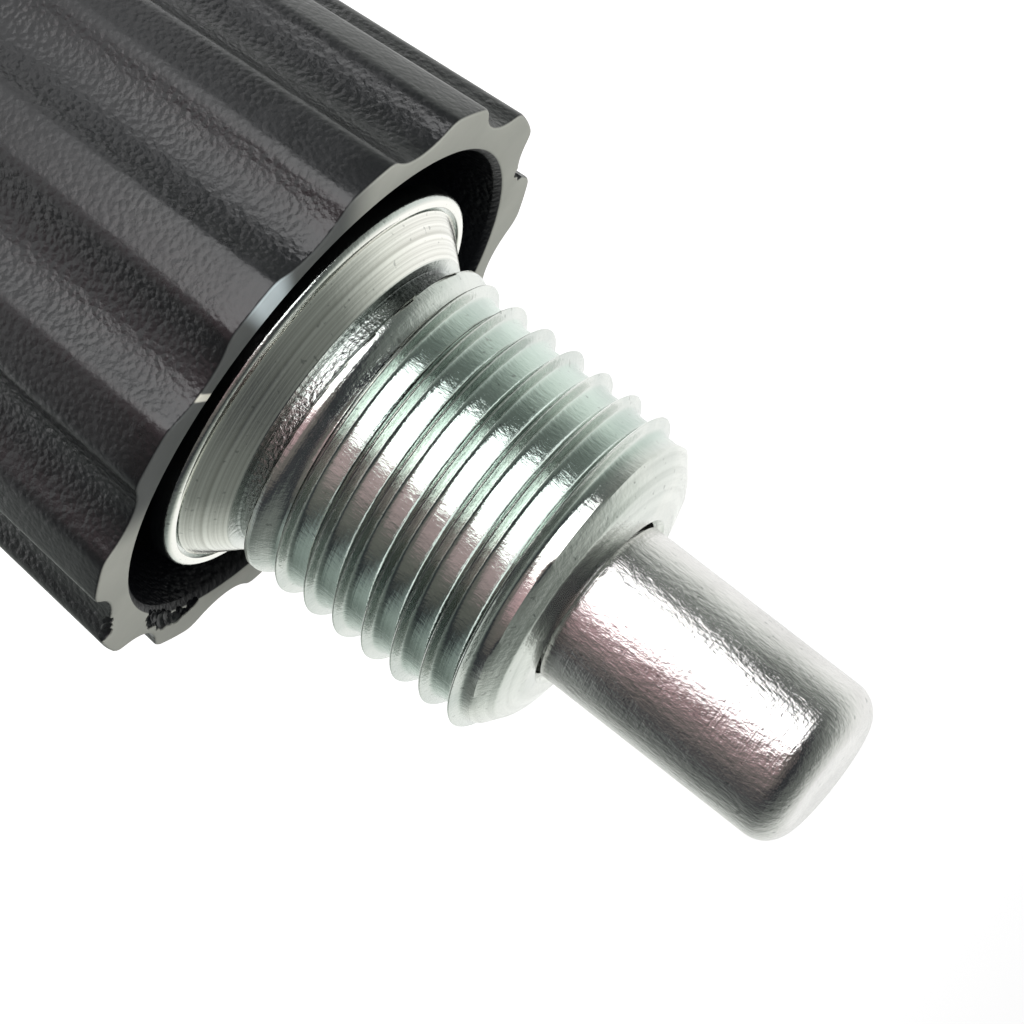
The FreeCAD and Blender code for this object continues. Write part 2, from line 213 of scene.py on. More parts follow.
# %% Noise and bump
def noise(tree, vector, scale, detail, roughness=0.5):
    """Noise between 0 and 1."""
    settings = {"Scale": scale, "Detail": detail, "Roughness": roughness}
    return add_node(tree, "ShaderNodeTexNoise", inputs=settings, links={"Vector": vector}).outputs["Fac"]


def bump(tree, height, strength, distance, normal=None):
    """Normal tilted by a height between 0 and 1; distance in metres is the height of 1."""
    links = {"Height": height, "Normal": normal} if normal else {"Height": height}
    node = add_node(tree, "ShaderNodeBump", inputs={"Strength": strength, "Distance": distance}, links=links)
    return node.outputs["Normal"]


print("noise gives clouds, rings and pits, bump makes them catch the light")


# %% [markdown]
# ## Knob plastic
#
# The knob is moulded in black glass-filled nylon. Its mould was spark eroded, which leaves a
# grain of rounded lumps about a fifth of a millimetre across. The grain is coarse in the flutes,
# where it catches the light as a speckle, and worn finer on the crowns. The lumps could be sculpted,
# but that takes millions of faces, so a bump from a cell texture stands in for them.
#
# The flat rim round the mouth is rubbed to a matt grey and painted pale as a sheen, with a stretch of
# painted shade, a painted glint and a pale fleck. Each is placed by its angle round the axis, so no unwrapping
# is needed.

# %% The rim's colour
def rim_colour(tree, angle, cloud):
    """Rubbed grey painted pale as a sheen, with painted shade, a painted glint and a pale fleck, placed by
    their angle in radians.
    """
    # painted sheen: the rubbed grey is made pale to stand in for the light that the rim reflects
    tone = blend(tree, cloud, "#9a9b93", "#b6b7ae")
    # painted shade: a dark stretch along the rim, placed by angle
    rim_painted_shade = multiply(tree, band(tree, angle, -2.15, -1.95, -0.85, -0.6), 0.9)
    tone = blend(tree, rim_painted_shade, tone, "#3f4243")
    # painted glint: a narrow pale bluish patch on the rim, placed by angle
    rim_painted_glint = band(tree, angle, -1.75, -1.66, -1.6, -1.52)
    tone = blend(tree, rim_painted_glint, tone, "#c4d0d3")
    fleck = band(tree, angle, -1.285, -1.275, -1.255, -1.245)
    return blend(tree, fleck, tone, "#e4e1d3")


print("the marks on the rim lie from", round(math.degrees(-2.15)), "to", round(math.degrees(-0.6)), "degrees")

# %% The mould's grain
LUMP_SCALE, LUMP_DEPTH = 5000, 0.02


def moulded_grain(tree, place, crown, rim):
    """Normal with rounded lumps, half as deep on the crowns and nearly none on the rim."""
    lumps = add_node(tree, "ShaderNodeTexVoronoi", {"feature": "SMOOTH_F1"},
                     {"Scale": LUMP_SCALE, "Smoothness": 0.25}, {"Vector": place})
    fine = noise(tree, place, 1.5 * LUMP_SCALE, 2)
    height = compute(tree, "SUBTRACT", fine, lumps.outputs["Distance"])
    depth = multiply(tree, rise(tree, crown, 0.0, 1.0, 1.0, 0.5), rise(tree, rim, 0.0, 1.0, 1.0, 0.1))
    return bump(tree, multiply(tree, height, depth), 1.0, LUMP_DEPTH * MM)


print("cells of the grain are", 1000 / LUMP_SCALE, "mm across")


# %% Knob plastic
def make_knob_plastic():
    """Black grain outside, rubbed grey with painted sheen on the rim, and painted shade inside: darker and
    nearly without shine.
    """
    material, tree, shader, place = new_material("moulded_black_nylon")
    radius, angle, height = round_coordinates(tree, place)
    crown_radius = compute(tree, "ADD", multiply(tree, height, DRAFT), KNOB_END * MM)
    below_crown = compute(tree, "SUBTRACT", crown_radius, radius)
    crown = rise(tree, below_crown, 0.06 * MM, 0.2 * MM, 1.0, 0.0)
    rim = rise(tree, height, (MOUTH_HEIGHT - 0.06) * MM, (MOUTH_HEIGHT - 0.01) * MM)
    deep_down = rise(tree, below_crown, 0.9 * MM, 1.05 * MM)
    above_end = rise(tree, height, 3.0 * MM, 3.5 * MM)
    # painted shade: deep in the hole the plastic is made darker and nearly without shine
    inside = multiply(tree, multiply(tree, deep_down, above_end), rise(tree, rim, 0.0, 1.0, 1.0, 0.0))

    cloud = noise(tree, place, 700, 5)
    outside = blend(tree, rim, blend(tree, cloud, "#101113", "#1d1e20"), rim_colour(tree, angle, cloud))
    tree.links.new(blend(tree, inside, outside, "#0d0e11"), shader.inputs["Base Color"])
    shader.inputs["IOR"].default_value = 1.5
    tree.links.new(rise(tree, inside, 0.0, 1.0, 0.5, 0.05), shader.inputs["Specular IOR Level"])
    rough = compute(tree, "ADD", rise(tree, cloud, 0.3, 0.7, 0.27, 0.34), multiply(tree, rim, 0.4))
    tree.links.new(rough, shader.inputs["Roughness"])
    tree.links.new(moulded_grain(tree, place, crown, rim), shader.inputs["Normal"])
    return material


knob_plastic = make_knob_plastic()
print("made", knob_plastic.name)

# %% [markdown]
# ## Zinc-plated steel
#
# The sleeve and the pin are turned steel with bright zinc plating. Zinc is a bluish metal, and its
# clear passivation gives it weak greenish and pinkish tints. Turning leaves fine rings round the
# axis, and the plating bath leaves fine pits. A plain mirror would look like chrome, so two bumps
# break the reflection up: noise along the height alone gives the rings, noise in space the pits.
#
# The sleeve has more to show: whitish rings on its cone and nose, a mint tint in the thread, and a
# greyer neck, where rough machining left streaks along the axis, with painted shade on one side of
# it. They are placed by radius, angle and height.

# %% The parts of the sleeve
def sleeve_masks(tree, radius, height):
    """Masks of the thread's valleys, the cone, the nose and the neck."""
    def between_heights(start, full, fade, end):
        return band(tree, height, start * MM, full * MM, fade * MM, end * MM)

    along_thread = between_heights(NECK_END, NECK_END + 0.3, THREAD_END - 0.35, THREAD_END + 0.15)
    deep = rise(tree, radius, (THREAD - 0.4) * MM, (THREAD - 0.25) * MM, 1.0, 0.0)
    cone = between_heights(MOUTH_HEIGHT - 0.1, MOUTH_HEIGHT, NECK_START - 0.05, NECK_START + 0.03)
    nose = rise(tree, height, (THREAD_END + 0.05) * MM, (THREAD_END + 0.25) * MM)
    neck = between_heights(NECK_START, NECK_START + 0.05, NECK_END, NECK_END + 0.2)
    return multiply(tree, deep, along_thread), cone, nose, neck


def sleeve_colour(tree, place, angle, turned, tone, masks):
    """The plain tone, changed on the cone and nose, the neck, with painted shade on one side of it, and the
    thread's valleys.
    """
    valley, cone, nose, neck = masks
    ringed = blend(tree, rise(tree, turned, 0.35, 0.6), "#cbcac3", "#fbfaf4")
    tone = blend(tree, compute(tree, "MAXIMUM", cone, multiply(tree, nose, 0.3)), tone, ringed)
    tone = blend(tree, multiply(tree, neck, 0.7), tone, "#b4bab7")
    # painted shade: one side of the neck is darkened, placed by angle
    neck_painted_shade = band(tree, angle, -3.0, -2.8, -2.3, -2.05)
    tone = blend(tree, multiply(tree, neck, neck_painted_shade), tone, "#474b4a")
    mint = blend(tree, rise(tree, noise(tree, place, 260, 3), 0.4, 0.6), "#b0c2ba", "#c9dbd2")
    return blend(tree, multiply(tree, valley, 0.8), tone, mint)


print("the neck is", round(NECK_END - NECK_START, 2), "mm long")

# %% Streaks in the neck
STREAK_SCALE = 28


def neck_streaks(tree, angle, height, neck, normal):
    """Lines along the axis: noise that changes quickly with the angle and slowly with the height."""
    spread = add_node(tree, "ShaderNodeCombineXYZ", links={"X": angle, "Y": multiply(tree, height, 300)})
    lines = noise(tree, spread.outputs["Vector"], STREAK_SCALE, 4)
    return bump(tree, multiply(tree, lines, neck), 1.0, 0.05 * MM, normal)


print("about", round(STREAK_SCALE * 2 * math.pi), "streaks go round the neck")


# %% Turned and plated metals
def make_metal(name, light_tone, dark_tone, roughness, rings, pit_depth, is_sleeve=False):
    """Turned metal. rings is the size of the turned rings and pit_depth that of the pits, in mm."""
    material, tree, shader, place = new_material(name)
    shader.inputs["Metallic"].default_value = 1
    radius, angle, height = round_coordinates(tree, place)
    cloud = noise(tree, place, 420, 4)
    tone = blend(tree, rise(tree, cloud, 0.35, 0.65), dark_tone, light_tone)
    height_only = add_node(tree, "ShaderNodeCombineXYZ", links={"Z": height})
    turned = noise(tree, height_only.outputs["Vector"], 1 / (rings * MM), 2)
    drawn_out = add_node(tree, "ShaderNodeMapping", {"vector_type": "POINT"},
                         {"Scale": (1, 1, 0.45)}, {"Vector": place})
    pits = noise(tree, drawn_out.outputs["Vector"], 6500, 4, 0.65)
    if is_sleeve:
        masks = sleeve_masks(tree, radius, height)
        tone = sleeve_colour(tree, place, angle, turned, tone, masks)
        _, cone, _, neck = masks
        pits = multiply(tree, pits, rise(tree, cone, 0.0, 1.0, 1.0, 0.2))

    pitted = rise(tree, noise(tree, place, 5200, 2), 0.66, 0.74)
    tree.links.new(blend(tree, multiply(tree, pitted, 0.5), tone, "#8b8e8c"), shader.inputs["Base Color"])
    rough = rise(tree, cloud, 0.3, 0.7, roughness * 0.75, roughness * 1.3)
    tree.links.new(rough, shader.inputs["Roughness"])
    normal = bump(tree, pits, 0.5, pit_depth * MM, bump(tree, turned, 0.6, 0.015 * MM))
    if is_sleeve:
        normal = neck_streaks(tree, angle, height, neck, normal)
    tree.links.new(normal, shader.inputs["Normal"])
    return material


sleeve_zinc = make_metal("zinc_plated_steel", "#e2e5e1", "#ccd2ce", 0.13, 0.12, 0.03, True)
pin_zinc = make_metal("zinc_plated_pin", "#e8e6e5", "#d4d2d1", 0.15, 0.1, 0.06)
bush_steel = make_metal("turned_steel", "#9b9c9e", "#7e8082", 0.35, 0.1, 0.01)
spring_wire = make_metal("drawn_spring_wire", "#84868a", "#6a6c70", 0.3, 0.3, 0.01)
brass = make_metal("turned_brass", "#c9a45a", "#ab8744", 0.3, 0.1, 0.01)
print("made the metals:", [metal.name for metal in (sleeve_zinc, pin_zinc, bush_steel, spring_wire, brass)])

# %% [markdown]
# ## The knob
#
# The knob is a cone cut by twelve hollow flutes, with rounded crowns between them and a round
# hole that takes the sleeve's flange. Its section changes with the angle, so no lathe can turn it.
# A grid is wrapped round the axis instead, and each point of a row is moved to the fluted outline.
#
# An operator acts on everything that is selected, so each piece starts with nothing selected.

# %% Start and finish a piece
def select_nothing():
    """Object mode with nothing selected."""
    if bpy.context.object and bpy.context.object.mode != "OBJECT":
        bpy.ops.object.mode_set(mode="OBJECT")
    bpy.ops.object.select_all(action="DESELECT")


def finish_piece(name, material, body, nodes, crease=35):
    """Name the piece, shade it smooth except at corners, give its finish, and hang it on its body."""
    piece = bpy.context.object
    piece.name = name
    bpy.ops.object.mode_set(mode="OBJECT")
    bpy.ops.object.shade_smooth_by_angle(angle=math.radians(crease))
    piece.data.materials.clear()
    piece.data.materials.append(material)
    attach(piece, body)
    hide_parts(*nodes)
    print(name, len(piece.data.polygons), "faces")
    return piece


print("a finished piece has a name, a smooth shade, a finish, a body that carries it, and its solid is hidden")

# %% The fluted outline
HALF_FLUTE = math.pi / FLUTES


def fluted_radius(base, angle):
    """Radius at an angle from a crown, in mm: crown, rounded shoulder, hollow."""
    from_crown = abs((angle + HALF_FLUTE) % (2 * HALF_FLUTE) - HALF_FLUTE)
    from_valley = HALF_FLUTE - from_crown
    reach = base + FLUTE_HOLLOW - FLUTE_DEPTH
    inner, outer = base - CROWN_ROUND, FLUTE_HOLLOW + CROWN_ROUND
    cosine = (inner ** 2 + reach ** 2 - outer ** 2) / (2 * inner * reach)
    shoulder = HALF_FLUTE - math.acos(min(1, cosine))
    if from_crown <= shoulder:
        return base
    across = reach * math.sin(from_valley)
    hollow = reach * math.cos(from_valley) - math.sqrt(max(0, FLUTE_HOLLOW ** 2 - across ** 2))
    beside = inner * math.sin(from_crown - shoulder)
    if abs(beside) < CROWN_ROUND:
        crown = inner * math.cos(from_crown - shoulder) + math.sqrt(CROWN_ROUND ** 2 - beside ** 2)
        if abs(across) >= FLUTE_HOLLOW:
            return crown
        touch = mathutils.Vector((reach * math.cos(HALF_FLUTE), reach * math.sin(HALF_FLUTE)))
        centre = mathutils.Vector((inner * math.cos(shoulder), inner * math.sin(shoulder)))
        meeting = centre + (touch - centre) * CROWN_ROUND / outer
        if from_crown < math.atan2(meeting.y, meeting.x):
            return crown
    return hollow


print("crown", fluted_radius(KNOB_MOUTH, 0), "valley", round(fluted_radius(KNOB_MOUTH, HALF_FLUTE), 3))

# %% The knob's rows
END_ROUND, EDGE_ROUND, NEAR_AXIS = 1.25, 0.1, 0.02
BORE_END, CAVITY_END = 20.0, 10.0
INSERT, INSERT_END = 2.87, 2.5
WAIST, WAIST_LOW, WAIST_HIGH = 2.27, 5.52, 6.98


def knob_rows():
    """(kind, inset or radius, height): first the closed end, up the flutes, over the rim, and in."""
    rows = [("round", NEAR_AXIS, 0.0), ("round", 3.0, 0.0)]
    for step in range(9):
        angle = math.radians(-90 + 90 * step / 8)
        height = END_ROUND * (1 + math.sin(angle))
        rows.append(("end", END_ROUND * (1 - math.cos(angle)), height))
    for step in range(1, 30):
        rows.append(("fluted", 0.0, END_ROUND + (MOUTH_HEIGHT - EDGE_ROUND - END_ROUND) * step / 30))
    for step in range(4):
        angle = math.radians(90 * step / 3)
        height = MOUTH_HEIGHT - EDGE_ROUND * (1 - math.sin(angle))
        rows.append(("fluted", EDGE_ROUND * (1 - math.cos(angle)), height))
    inward = [
        (BORE + BORE_BEVEL + 0.03, MOUTH_HEIGHT), (BORE + BORE_BEVEL, MOUTH_HEIGHT - 0.01),
        (BORE + 0.02, MOUTH_HEIGHT - BORE_BEVEL + 0.02), (BORE, MOUTH_HEIGHT - BORE_BEVEL - 0.02),
        (BORE - 0.45, BORE_END), (CAVITY, BORE_END), (CAVITY, CAVITY_END), (INSERT, CAVITY_END),
        (INSERT, WAIST_HIGH), (WAIST, WAIST_HIGH), (WAIST, WAIST_LOW), (INSERT, WAIST_LOW),
        (INSERT, INSERT_END), (NEAR_AXIS, INSERT_END)]
    return rows + [("round", radius, height) for radius, height in inward]


KNOB_ROWS = knob_rows()
print(len(KNOB_ROWS), "rows from the closed end over the rim to the bottom of the hole")

# %% A sheet round the axis
KNOB_COLUMNS = 480


def wrap_sheet(rows, sides, place):
    """Grid wrapped into a closed ring. place(row, angle) gives radius and height in mm."""
    select_nothing()
    bpy.ops.mesh.primitive_grid_add(x_subdivisions=sides, y_subdivisions=rows - 1, size=1)
    sheet = bpy.context.object
    for vertex in sheet.data.vertices:
        angle = 2 * math.pi * (vertex.co.x + 0.5)
        row = round((vertex.co.y + 0.5) * (rows - 1))
        radius, height = place(row, angle)
        vertex.co = (radius * math.cos(angle) * MM, radius * math.sin(angle) * MM, height * MM)
    bpy.ops.object.mode_set(mode="EDIT")
    bpy.ops.mesh.select_all(action="SELECT")
    bpy.ops.mesh.remove_doubles(threshold=0.0000005)
    bpy.ops.mesh.dissolve_degenerate(threshold=0.0000005)
    bpy.ops.mesh.select_all(action="SELECT")
    bpy.ops.mesh.normals_make_consistent(inside=False)
    bpy.ops.object.mode_set(mode="OBJECT")


def close_ends():
    """Fill the open ends, merge doubles and point the faces outwards."""
    bpy.ops.mesh.select_all(action="DESELECT")
    bpy.ops.mesh.select_non_manifold()
    bpy.ops.mesh.fill_holes(sides=0)
    bpy.ops.mesh.select_all(action="SELECT")
    bpy.ops.mesh.remove_doubles(threshold=0.000001)
    bpy.ops.mesh.normals_make_consistent(inside=False)


print("the knob's columns are", 360 / KNOB_COLUMNS, "degrees apart")

# %% The knob's sheet
def knob_point(row, angle):
    """Radius and height of one point of the knob."""
    kind, amount, height = KNOB_ROWS[row]
    if kind == "round":
        return amount, height
    radius = fluted_radius(KNOB_END + DRAFT * height, angle) - amount
    if kind == "end":
        radius = min(radius, KNOB_END + DRAFT * END_ROUND - amount)
    return radius, height


wrap_sheet(len(KNOB_ROWS), KNOB_COLUMNS, knob_point)
bpy.ops.object.mode_set(mode="EDIT")
close_ends()
knob = bpy.context.object
print("knob sheet", len(knob.data.vertices), "points")

# %% [markdown]
# ## Chips in the rim
#
# Handling has knocked small ragged chips from the rim: one at a flute on the far side, a row of them
# at a flute below, and a row at the edge of the hole. They could be painted dark, but those at the
# edge show against white, so they have to be real. A Boolean takes one rough lump away at a time,
# because lumps that overlap in one cutter leave odd walls behind.

# %% Where the chips are
FAR_FLUTE = [(8.78, 161.0, 0.3), (8.62, 163.5, 0.3), (8.7, 166.0, 0.2)]
LOW_FLUTE = [(9.1, 344.0, 0.2), (8.95, 346.0, 0.24), (8.85, 348.0, 0.22),
             (8.8, 350.0, 0.26), (8.85, 352.0, 0.22), (8.95, 354.0, 0.24)]
HOLE_EDGE = [(7.9, 9.0, 0.2), (7.98, 11.5, 0.28), (8.05, 14.0, 0.33), (8.0, 16.5, 0.3), (8.12, 19.0, 0.34),
             (8.18, 21.5, 0.33), (8.1, 24.0, 0.34), (8.16, 26.5, 0.3), (8.0, 29.0, 0.28), (7.9, 31.0, 0.2)]
CHIPS = FAR_FLUTE + LOW_FLUTE + HOLE_EDGE
print(len(CHIPS), "chips, the largest", 2 * max(size for _, _, size in CHIPS), "mm across")


# %% Cut the chips
def cut_chips(piece, chips):
    """Take rough lumps (radius, angle in degrees, size) out of the rim."""
    for number, (radius, degrees, size) in enumerate(chips):
        select_nothing()
        angle = math.radians(degrees)
        place = (radius * math.cos(angle) * MM, radius * math.sin(angle) * MM, MOUTH_HEIGHT * MM)
        bpy.ops.mesh.primitive_ico_sphere_add(subdivisions=3, radius=size * MM, location=place)
        bpy.ops.object.mode_set(mode="EDIT")
        bpy.ops.mesh.select_all(action="SELECT")
        bpy.ops.transform.vertex_random(offset=size * 0.12 * MM, seed=number + 1)
        bpy.ops.object.mode_set(mode="OBJECT")
        lump = bpy.context.object
        select_nothing()
        piece.select_set(True)
        bpy.context.view_layer.objects.active = piece
        chipping = piece.modifiers.new("chipping", "BOOLEAN")
        chipping.operation, chipping.object, chipping.solver = "DIFFERENCE", lump, "EXACT"
        bpy.ops.object.modifier_apply(modifier="chipping")
        bpy.data.objects.remove(lump)


cut_chips(knob, CHIPS)
finish_piece("fluted_knob", knob_plastic, "plunger", ["knob"])

# %% [markdown]
# ## The threaded sleeve
#
# The sleeve is turned from bar: a barrel inside the knob, a flange, a shallow cone, a neck and a
# fine right-hand thread of 10 mm by 1 mm. A Screw modifier could wind the thread, but its two ends
# would then have to be joined to the rest. In one sheet whose rows follow the helix nothing needs
# joining, and crests and roots stay sharp with few faces. The rows are held between the neck and the
# front end.

# %% Thread profile
FLANK = [(0.0, 0.0), (0.025, 0.018), (0.045, 0.065), (0.065, 0.125), (0.09, 0.195), (0.115, 0.255),
         (0.145, 0.31), (0.185, 0.348), (0.25, 0.37), (0.33, 0.38), (0.42, 0.385), (0.5, 0.385)]


def thread_profile():
    """(offset along the axis, depth) over one pitch, from one root to the next."""
    rising = [(-offset, depth) for offset, depth in reversed(FLANK[1:])]
    return rising + FLANK[:-1]


FIRST_TURN, LAST_TURN = -1, 8
HELIX_ROWS = [(number * PITCH + offset, depth)
              for number in range(FIRST_TURN, LAST_TURN + 1) for offset, depth in thread_profile()]
print(len(HELIX_ROWS), "rows along the helix, root radius", THREAD - FLANK[-1][1])


# %% Where the thread fades
def between(value, low, high):
    """0 below low, 1 above high, and a smooth step between them."""
    share = min(1, max(0, (value - low) / (high - low)))
    return share * share * (3 - 2 * share)


def envelope(height):
    """Largest radius of the thread at a height: the first ridge, full thread, point and front edge."""
    ridge = NECK + (THREAD - NECK) * between(height, NECK_END - 0.02, NECK_END + 0.22)
    if height > POINT_END:
        return POINT - 0.9 * (height - POINT_END) / (SLEEVE_FRONT - POINT_END)
    return min(ridge, THREAD - (THREAD - POINT) * max(0, height - THREAD_END) / (POINT_END - THREAD_END))


print("the front edge's radius is", round(envelope(SLEEVE_FRONT), 2), "mm")

# %% The sleeve's other corners
FLANGE_BACK, FLANGE_FRONT, FLANGE_ROUND = 24.2, 25.0, 0.22
GROOVE_OUT, GROOVE_IN, GROOVE_FLOOR = 5.9, 5.8, 24.82
CONE_START, CONE_IN, CONE_UP, CONE_STEPS = 5.76, 0.86, 0.93, 8
LIP, REAR, LIP_FRONT = 3.85, 11.25, 11.75
BUSH_SEAT, CHAMBER, CHAMBER_BACK = 4.25, 3.75, 13.35
GUIDE, GUIDE_START = 2.54, 28.75


def rounding(centre_radius, centre_height, radius, start, end, steps):
    """Corners on a quarter circle; the angles are from the outward direction, in degrees."""
    corners = []
    for step in range(steps + 1):
        angle = math.radians(start + (end - start) * step / steps)
        corners.append((centre_radius + radius * math.cos(angle), centre_height + radius * math.sin(angle)))
    return corners


SLEEVE_BACK = (
    [(LIP, REAR), (BARREL - 0.3, REAR), (BARREL, REAR + 0.3), (BARREL, FLANGE_BACK)]
    + rounding(FLANGE - FLANGE_ROUND, FLANGE_BACK + FLANGE_ROUND, FLANGE_ROUND, -90, 0, 5)
    + rounding(FLANGE - FLANGE_ROUND, FLANGE_FRONT - FLANGE_ROUND, FLANGE_ROUND, 0, 90, 5)
    + [(GROOVE_OUT + 0.03, FLANGE_FRONT), (GROOVE_OUT + 0.01, FLANGE_FRONT - 0.02), (GROOVE_OUT, GROOVE_FLOOR),
       (GROOVE_IN, GROOVE_FLOOR), (GROOVE_IN - 0.01, FLANGE_FRONT - 0.03), (CONE_START, FLANGE_FRONT)]
    + [(CONE_START - CONE_IN * step / CONE_STEPS, FLANGE_FRONT + CONE_UP * step / CONE_STEPS)
       for step in range(1, CONE_STEPS + 1)]
    + [(4.88, NECK_START), (4.84, NECK_START), (NECK + 0.06, NECK_START + 0.03), (NECK, NECK_START + 0.09)]
)
SLEEVE_INSIDE = [
    (GUIDE + 0.2, SLEEVE_FRONT), (GUIDE, SLEEVE_FRONT - 0.2), (GUIDE, GUIDE_START), (CHAMBER, GUIDE_START),
    (CHAMBER, CHAMBER_BACK), (BUSH_SEAT, CHAMBER_BACK), (BUSH_SEAT, LIP_FRONT), (LIP, LIP_FRONT)]
SLEEVE_ROWS = len(SLEEVE_BACK) + len(HELIX_ROWS) + len(SLEEVE_INSIDE) + 1
print("the sleeve's sheet has", SLEEVE_ROWS, "rows")


# %% Sleeve
def sleeve_point(row, angle):
    """Radius and height of one point of the sleeve."""
    if row < len(SLEEVE_BACK):
        return SLEEVE_BACK[row]
    row -= len(SLEEVE_BACK)
    if row < len(HELIX_ROWS):
        offset, depth = HELIX_ROWS[row]
        height = min(max(FIRST_CREST + offset + PITCH * angle / (2 * math.pi), NECK_END), SLEEVE_FRONT)
        groove = THREAD - depth * between(height, NECK_END + 0.3, NECK_END + 1.1)
        return min(groove, envelope(height)), height
    row -= len(HELIX_ROWS)
    if row < len(SLEEVE_INSIDE):
        return SLEEVE_INSIDE[row]
    return SLEEVE_BACK[0]


SLEEVE_COLUMNS = 200
wrap_sheet(SLEEVE_ROWS, SLEEVE_COLUMNS, sleeve_point)
bpy.ops.object.mode_set(mode="EDIT")
finish_piece("threaded_sleeve_dressed", sleeve_zinc, "sleeve", ["threaded_sleeve"], 30)

# %% [markdown]
# ## The pin
#
# The pin is turned in one piece with its shoulder and shank. Its front edge is well rounded so that
# it finds the locking hole. Cylinders could be stacked and bevelled, but the pin is made as on a
# lathe: a circle is extruded from one corner of the outline to the next and scaled there, so every
# corner is where the drawing has it.

# %% The pin's outline
SHANK, SHANK_END, SHANK_BEVEL = 1.9, 3.7, 0.25
SHOULDER, SHOULDER_BACK = 3.45, 26.75
RELIEF, RELIEF_LENGTH = 0.2, 0.8
RELIEF_START = SLEEVE_FRONT - RELIEF_LENGTH
PIN_OUTLINE = (
    [(SHANK - SHANK_BEVEL, SHANK_END), (SHANK, SHANK_END + SHANK_BEVEL), (SHANK, SHOULDER_BACK),
     (SHOULDER, SHOULDER_BACK), (SHOULDER, GUIDE_START), (PIN, GUIDE_START), (PIN, RELIEF_START),
     (PIN - RELIEF, RELIEF_START), (PIN - RELIEF, SLEEVE_FRONT), (PIN, SLEEVE_FRONT)]
    + rounding(PIN - TIP_ROUND, TIP_HEIGHT - TIP_ROUND, TIP_ROUND, 0, 90, 14)
)
print(len(PIN_OUTLINE), "corners in the pin's outline")


# %% Turn the pin
def turn_on_lathe(outline, sides):
    """Closed ring of the outline's corners (radius, height in mm), left in edit mode."""
    select_nothing()
    radius, height = outline[0]
    bpy.ops.mesh.primitive_circle_add(
        vertices=sides, radius=radius * MM, fill_type="NOTHING", location=(0, 0, height * MM))
    bpy.ops.object.transform_apply(location=True, rotation=True, scale=True)
    bpy.ops.object.mode_set(mode="EDIT")
    bpy.ops.mesh.select_all(action="SELECT")
    for next_radius, next_height in outline[1:]:
        step = (0, 0, (next_height - height) * MM)
        bpy.ops.mesh.extrude_region_move(TRANSFORM_OT_translate={"value": step})
        ratio = next_radius / radius
        bpy.ops.transform.resize(value=(ratio, ratio, 1), center_override=(0, 0, next_height * MM))
        radius, height = next_radius, next_height


turn_on_lathe(PIN_OUTLINE, 160)
close_ends()
finish_piece("locking_pin", pin_zinc, "plunger", ["plunger_pin"], 30)

# %% [markdown]
# ## The spring
#
# The spring is wound from round wire. A curve along a helix could carry the wire, but a Screw
# modifier winds it from one circle with less to set. It shortens as the knob is pulled, but here it
# is wound at one length and hangs on the sleeve, with a mesh of its own.

# %% Spring
SPRING_LOW, SPRING_HIGH, COIL, WIRE, COILS = CHAMBER_BACK, 26.25, 2.95, 0.3, 5
select_nothing()
bpy.ops.mesh.primitive_circle_add(vertices=14, radius=WIRE * MM, rotation=(math.pi / 2, 0, 0),
                                  location=(COIL * MM, 0, (SPRING_LOW + WIRE) * MM))
bpy.ops.object.transform_apply(location=True, rotation=True, scale=True)
winding = bpy.context.object.modifiers.new("winding", "SCREW")
winding.axis = "Z"
winding.angle = 2 * math.pi * COILS
winding.screw_offset = (SPRING_HIGH - SPRING_LOW - 2 * WIRE) * MM
winding.steps = winding.render_steps = 150
bpy.ops.object.modifier_apply(modifier="winding")
bpy.ops.object.mode_set(mode="EDIT")
close_ends()
spring = finish_piece("coil_spring", spring_wire, "sleeve", ["compression_spring"])
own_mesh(spring)

# %% [markdown]
# ## The small pieces inside
#
# The bush, the washer and the insert are plain turned rings. They could be turned again, but their
# solids are already right, so they keep them and get their finishes only.

# %% Finishes of the small pieces
for node_name, finish in (("rear_bush", bush_steel), ("spring_washer", bush_steel), ("knob_insert", brass)):
    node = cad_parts[node_name]
    if not node.material_slots:
        node.data.materials.append(finish)
    for material_slot in node.material_slots:
        material_slot.material = finish
    print(node_name, "is", finish.name)

# %% [markdown]
# ## Floor and white surroundings
#
# The photograph has white nearly all round. The floor could be cut out and the background painted
# white, but then the object would stand on nothing. The floor is plain and pale instead, keeps the
# object's shadow, and adds a little glow for the rays that show the background. The world is white
# for the same rays and lights the rest more weakly.

# %% Floor
def background_rays(tree):
    """1 for the rays that show the background: to the camera, in mirrors and through glass."""
    rays = add_node(tree, "ShaderNodeLightPath")
    mirrored = compute(tree, "MAXIMUM", rays.outputs["Is Glossy Ray"], rays.outputs["Is Transmission Ray"])
    return compute(tree, "MAXIMUM", rays.outputs["Is Camera Ray"], mirrored)


def shine(tree, colour, strength):
    """Emission of a hex colour with its strength from a socket."""
    node = add_node(tree, "ShaderNodeEmission", inputs={"Color": linear(colour)}, links={"Strength": strength})
    return node.outputs["Emission"]


def add_shaders(tree, first, second):
    """Both shaders together."""
    return add_node(tree, "ShaderNodeAddShader", links={0: first, 1: second}).outputs["Shader"]


select_nothing()
bpy.ops.mesh.primitive_plane_add(size=6, location=(0, 0, 0))
floor = bpy.context.object
floor.name = "floor"
floor_paint, floor_tree, floor_shader, _ = new_material("pale_floor")
floor_shader.inputs["Base Color"].default_value = linear("#f4f4f4")
floor_shader.inputs["Roughness"].default_value = 0.9
floor_shader.inputs["Specular IOR Level"].default_value = 0
floor_glow = shine(floor_tree, "#ffffff", multiply(floor_tree, background_rays(floor_tree), 0.7))
floor_sum = add_shaders(floor_tree, floor_shader.outputs["BSDF"], floor_glow)
floor_tree.links.new(floor_sum, floor_tree.nodes["Material Output"].inputs["Surface"])
floor.data.materials.append(floor_paint)
print("floor", floor.name)

